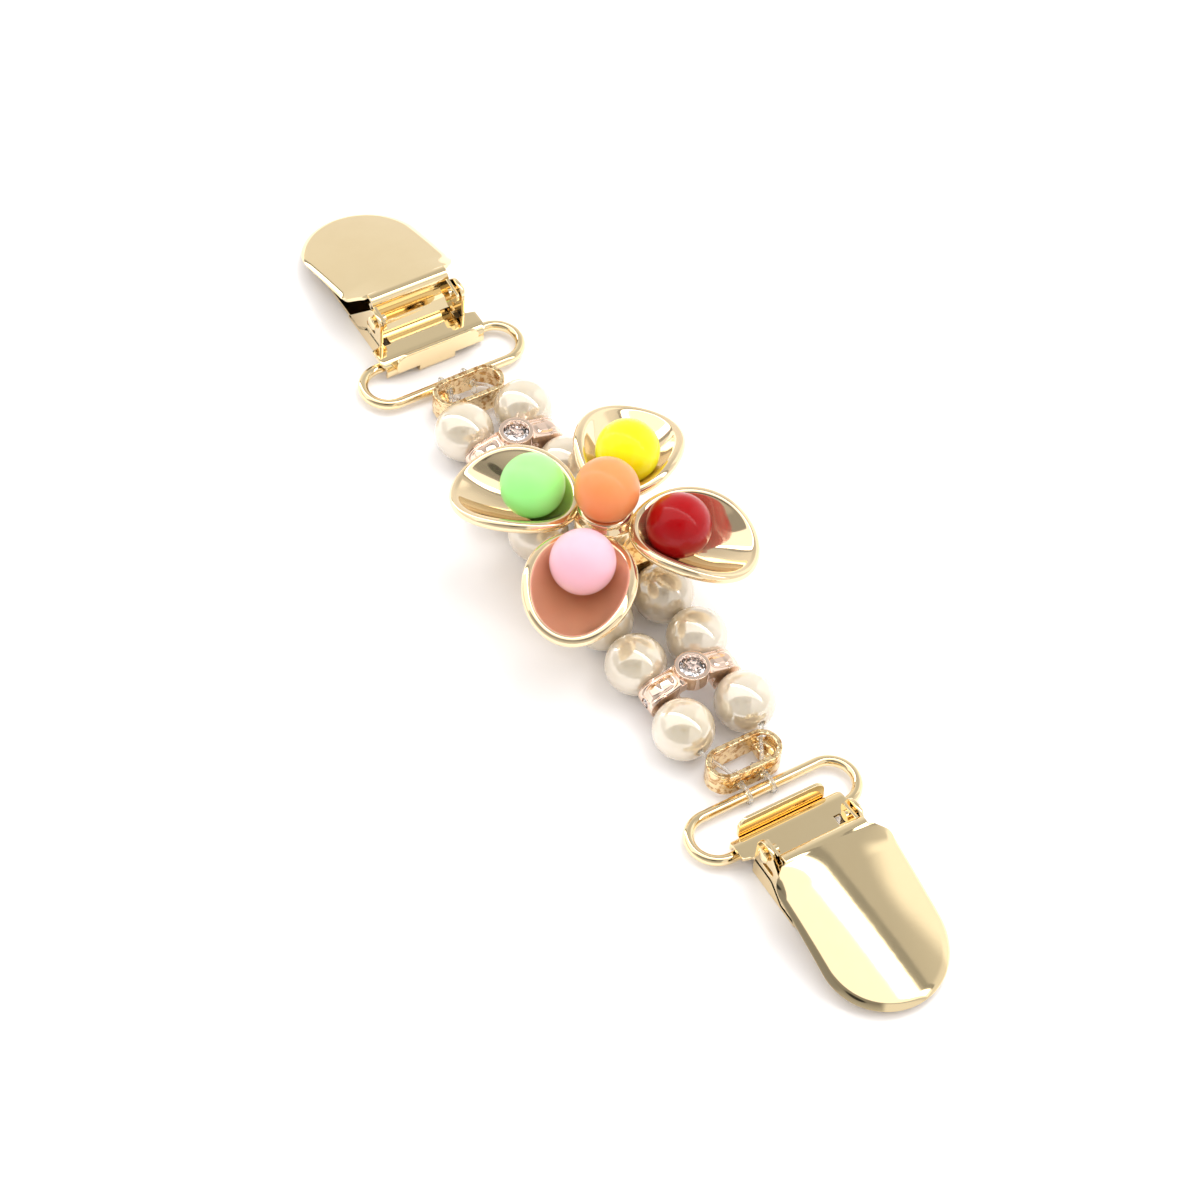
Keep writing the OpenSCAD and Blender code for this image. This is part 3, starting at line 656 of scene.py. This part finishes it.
def strap_and_lip():
    """A strap that dips in front of the rolled edge and rises to carry the leaning lip."""
    trough_inner, trough_r, strap_half = 0.225, 0.475, 2.75
    trough = (BAR.x - ROLL_R - trough_inner, SHEET + trough_inner)
    path = [(BAR.x - ROLL_R + SHEET / 2, BAR.z + 0.2)] + arc(trough, trough_r, 0, -180, 14)
    path.append((trough[0] - trough_r, BAR.z + 0.4))
    rows = [[Vector((x, strap_half * v, z)) for v in spread(-1, 1, 9)] for x, z in resampled(path, 0.2)]
    strap = plated(grid_mesh("strap", rows), 0.07, offset=0.0)

    half, low_r, top_r, lift, lean = 6.3, 0.7, 1.5, 0.1, math.radians(-6)
    top = PLATE_Z + 2.2 - BAR.z - lift
    outline = arc((half - low_r, low_r), low_r, 270, 360, 8)
    outline += arc((half - top_r, top - top_r), top_r, 0, 90, 12)
    outline += arc((top_r - half, top - top_r), top_r, 90, 180, 12)
    outline += arc((low_r - half, low_r), low_r, 180, 270, 8)
    lip = cut_plate("lip", [outline], 0.1)
    stand = Matrix(((0, 0, 1), (1, 0, 0), (0, 1, 0))).to_4x4()
    lip.transform(Matrix.Translation((trough[0] - trough_inner, 0, BAR.z + lift))
                  @ Matrix.Rotation(lean, 4, "Y") @ Matrix.Translation((-SHEET / 2, 0, 0)) @ stand)
    return [strap, lip]


lever = joined("lever", [lever_sheet()] + lugs_and_trunnions())
piece("lever_plate_a", lever, "clip_metal", "lever_a", "clip_lever_a")
piece("lever_plate_b", lever, "clip_metal", "lever_b", "clip_lever_b", turned=True)
base = joined("base", [base_sheet()] + base_walls() + strap_and_lip())
piece("base_sheet_a", base, "clip_metal", "clip_a", "clip_base_a")
piece("base_sheet_b", base, "clip_metal", "clip_b", "clip_base_b", turned=True)


# Flower: four cups with rolled rims on a hub, and the ring seat of the middle bead

CUPS_LOW, CUPS_HIGH = box_mm("flower_cups")
CUP_TURN = math.radians(-1)
CUP_REACH, CUP_LENGTH, CUP_WIDTH = 11.8, 17.0, 14.4
CUP_WALL, RIM_R = 0.9, 0.8
CUP_FLOOR = CUPS_LOW.z + CUP_WALL
RIM_RISE, TIP_RISE = 4.5, 1.7
CUP_BULGE, UNDER_BULGE, CUP_EGG, RIPPLE = 2.0, 1.7, 0.04, 0.05
TIP_REACH = CUP_REACH + CUP_LENGTH / 2
PEAK_REACH = 0.5 * TIP_REACH
DROOP = (RIM_RISE - TIP_RISE) / (TIP_REACH - PEAK_REACH) ** 2


def cup_edge(phi):
    """The slightly egg-shaped outline of a cup, from its middle."""
    half_width = CUP_WIDTH / 2 * math.sin(phi) * (1 + CUP_EGG * math.cos(phi))
    return Vector((CUP_LENGTH / 2 * math.cos(phi), half_width))


def rim_top(phi):
    return CUP_FLOOR + RIM_RISE - DROOP * (CUP_REACH + cup_edge(phi).x - PEAK_REACH) ** 2


def cup_profile(phi):
    """Points from the middle of the cup's floor over the rolled rim and back under the cup, at one angle."""
    edge = cup_edge(phi)
    way, length, rise = edge.normalized(), edge.length, rim_top(phi) - CUP_FLOOR

    def rim(angle):
        return length - RIM_R + RIM_R * math.cos(angle), rise - RIM_R + RIM_R * math.sin(angle)

    start, end = math.radians(140), math.radians(-65)
    for _ in range(8):
        inner, tall = rim(start)
        start = math.pi / 2 + math.atan(CUP_BULGE * tall / inner)
    ripple = RIPPLE * math.sin(7 * phi + 1.3 * math.sin(3 * phi))
    pairs = [(inner * rho, tall * rho ** CUP_BULGE + ripple * rho ** 2 * (1 - rho ** 4))
             for rho in spread(0.03, 1, 34)]
    pairs += [rim(angle) for angle in spread(start, end, 30)[1:]]
    outer, low = pairs[-1]
    pairs += [(outer * rho, -CUP_WALL + (low + CUP_WALL) * rho ** UNDER_BULGE)
              for rho in spread(0.97, 0.03, 20)]
    return [Vector((CUP_REACH + way.x * r, way.y * r, CUP_FLOOR + z)) for r, z in pairs]


def cups_mesh():
    sides = 144
    columns = [cup_profile(phi) for phi in full_turn(sides)]
    rows = [list(row) for row in zip(*columns)]
    rows.insert(0, [Vector((CUP_REACH, 0, CUP_FLOOR))] * sides)
    rows.append([Vector((CUP_REACH, 0, CUP_FLOOR - CUP_WALL))] * sides)
    parts = []
    for quarter in full_turn(4):
        cup = welded(grid_mesh("cup", rows, closed=True), 1e-4)
        cup.transform(Matrix.Rotation(math.pi / 4 + quarter + CUP_TURN, 4, "Z"))
        parts.append(cup)
    seat_r, seat_rod = 3.024, 0.5
    seat_z = CUPS_HIGH.z - seat_rod
    hub = [(0, CUPS_LOW.z), (3.5, CUPS_LOW.z), (3.8, CUPS_LOW.z + 0.3)]
    hub += [(3.8, seat_z - 1.6), (3.6, seat_z - 1.2), (3.2, seat_z - 0.9), (seat_r, seat_z - 0.2)]
    hub += [(seat_r - 0.3, seat_z - 0.3), (1.6, seat_z - 1.25), (0, seat_z - 1.6)]
    parts.append(lathe("hub", hub, 96))
    parts.append(lathe("seat", arc((seat_r, seat_z), seat_rod, 0, 360, 25), 96))
    return joined("cups", parts, 60)


piece("cups_cast", cups_mesh(), "cup_metal", "strand", "flower_cups")


# Pearls: drilled, with the lacquer rounded into the holes

def pearl_mesh():
    """A closed loop of rows: over the ball from hole to hole, and back through the bore."""
    radius, hole, lip, seam = 4.0, 0.42, 0.14, 0.2
    start = math.degrees(math.asin((hole + lip) / radius))
    ball = [(r, x) for x, r in arc((0, 0), radius, start, 180 - start, 72)]
    bore_in, bore_out = (hole, ball[0][1] - lip), (hole, ball[-1][1] + lip)
    profile = [(hole, seam), bore_in] + ball + [bore_out, (hole, seam)]
    rows = [[Vector((x, r * math.cos(a), r * math.sin(a))) for a in full_turn(96)] for r, x in profile]
    return joined("pearl", [grid_mesh("pearl", rows, closed=True)], 60)


pearl = pearl_mesh()
for node in [name for name, slot in SLOT_OF.items() if slot == "pearl"]:
    low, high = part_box(node)
    mesh = pearl.copy()
    mesh.transform(Matrix.Translation((Vector(low) + Vector(high)) / 2))
    piece("drilled_" + node, mesh, "pearl", "strand", node)


# Spacers and connectors: the solids rounded and given the skin of a casting

def remeshed(node, voxel, smooth):
    """The CAD solid in voxels of that size, in millimetres, smoothed that many times."""
    obj = scratch_object(frame["nodes"][node].data.copy())
    grid = obj.modifiers.new("voxels", "REMESH")
    grid.mode, grid.voxel_size = "VOXEL", voxel * MM
    soft = obj.modifiers.new("smooth", "SMOOTH")
    soft.factor, soft.iterations = 0.5, smooth
    mesh = finished(obj)
    for polygon in mesh.polygons:
        polygon.use_smooth = True
    return mesh


def spacer_mesh():
    """The band rounded across, with a framed pillow on each side of the bezel."""
    half_t, axis_z, pillow_y, pillow_x_half, pillow_y_half = 1.6, 4.0, 4.65, 1.15, 2.1
    mesh = remeshed("spacer_a", 0.08, 6)
    low, high = box_mm("spacer_a")
    middle = Vector(((low.x + high.x) / 2, 0, axis_z))
    mesh.update()
    normals = [Vector(v.normal) for v in mesh.vertices]
    for vert, normal in zip(mesh.vertices, normals):
        x, y, z = vert.co / MM - middle
        up = smoothstep(0.05, 0.45, normal.z) * smoothstep(2.3, 2.6, math.hypot(x, y))
        crown = 0.38 * min(abs(x) / half_t, 1.0) ** 2.5 * up
        rho = ((x / pillow_x_half) ** 4 + ((abs(y) - pillow_y) / pillow_y_half) ** 4) ** 0.25
        groove = 0.16 * smoothstep(0.62, 0.88, rho) * (1 - smoothstep(0.92, 1.12, rho))
        puff = 0.10 * max(1 - rho ** 2, 0.0)
        vert.co -= Vector((0, 0, crown)) * MM + normal * ((groove - puff) * up * MM)
    return mesh


def connector_mesh():
    """The cast frame with shallow lumps."""
    mesh = remeshed("connector_a", 0.09, 3)
    for vert in mesh.vertices:
        at = vert.co / MM
        vert.co += Vector(vert.normal) * MM * 0.05 * (noise.noise(at * 1.9) + 0.5 * noise.noise(at * 4.3))
    return mesh


spacer = spacer_mesh()
piece("spacer_cast_a", spacer, "rose_metal", "strand", "spacer_a")
piece("spacer_cast_b", spacer, "rose_metal", "strand", "spacer_b", turned=True)
connector = connector_mesh()
piece("connector_cast_a", connector, "gold_metal", "strand", "connector_a")
piece("connector_cast_b", connector, "gold_metal", "strand", "connector_b", turned=True)


# Stones: round brilliants with a silvered back

def stone_mesh(low, high):
    """The hull of rings of [corners, share of the radius, share of the depth, turn] and a point below."""
    centre, radius, tall = (low + high) / 2, (high.x - low.x) / 2, high.z - low.z
    table, crown, girdle_top = (8, 0.56, 0.0, 0.0), (8, 0.80, 0.14, 0.5), (16, 1.0, 0.32, 0.0)
    girdle_low, pavilion, foil_depth = (16, 1.0, 0.38, 0.0), (8, 0.52, 0.72, 0.5), 0.36
    mesh = bpy.data.meshes.new("stone")
    body = bmesh.new()
    for count, share, depth, turn in (table, crown, girdle_top, girdle_low, pavilion):
        for k in range(count):
            angle = 2 * math.pi * (k + turn) / count
            body.verts.new((centre.x + radius * share * math.cos(angle),
                            centre.y + radius * share * math.sin(angle), high.z - depth * tall))
    body.verts.new((centre.x, centre.y, low.z))
    bmesh.ops.convex_hull(body, input=body.verts)
    bmesh.ops.recalc_face_normals(body, faces=body.faces)
    for face in body.faces:
        face.material_index = 1 if face.calc_center_median().z < high.z - foil_depth * tall else 0
    bmesh.ops.scale(body, vec=(MM, MM, MM), verts=body.verts)
    body.to_mesh(mesh)
    body.free()
    return mesh


for end in ("a", "b"):
    node = "spacer_stone_" + end
    gem = piece("gem_" + end, stone_mesh(*box_mm(node)), "stone", "strand", node)
    gem.data.materials.append(FOIL)
